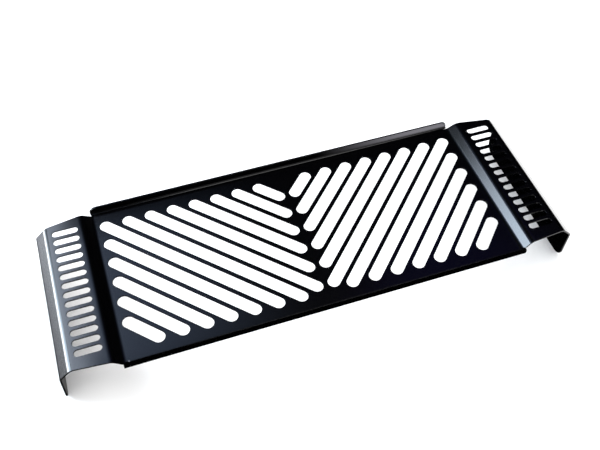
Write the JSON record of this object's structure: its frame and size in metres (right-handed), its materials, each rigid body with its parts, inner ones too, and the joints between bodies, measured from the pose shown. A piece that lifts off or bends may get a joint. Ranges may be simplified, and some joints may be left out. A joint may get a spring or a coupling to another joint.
{
  "type": "motorcycle radiator guard",
  "caption": "Slotted and folded sheet guard for the front of a motorcycle radiator, with flanged long edges and raised slotted wings that fold back around its sides.",
  "frame": {"origin": "middle of the guard in X and Y, level with the free edges of its end flanges", "axes": "+X along the guard to its right end as seen from the front, +Y to its upper long edge, +Z forwards, out of its front face"},
  "size_m": [0.4488, 0.158, 0.0463],
  "materials": {
    "black_coat": "semi-gloss black powder coat on sheet metal"
  },
  "bodies": {
    "root": {"guard_sheet": "black_coat"}
  },
  "joints": []
}
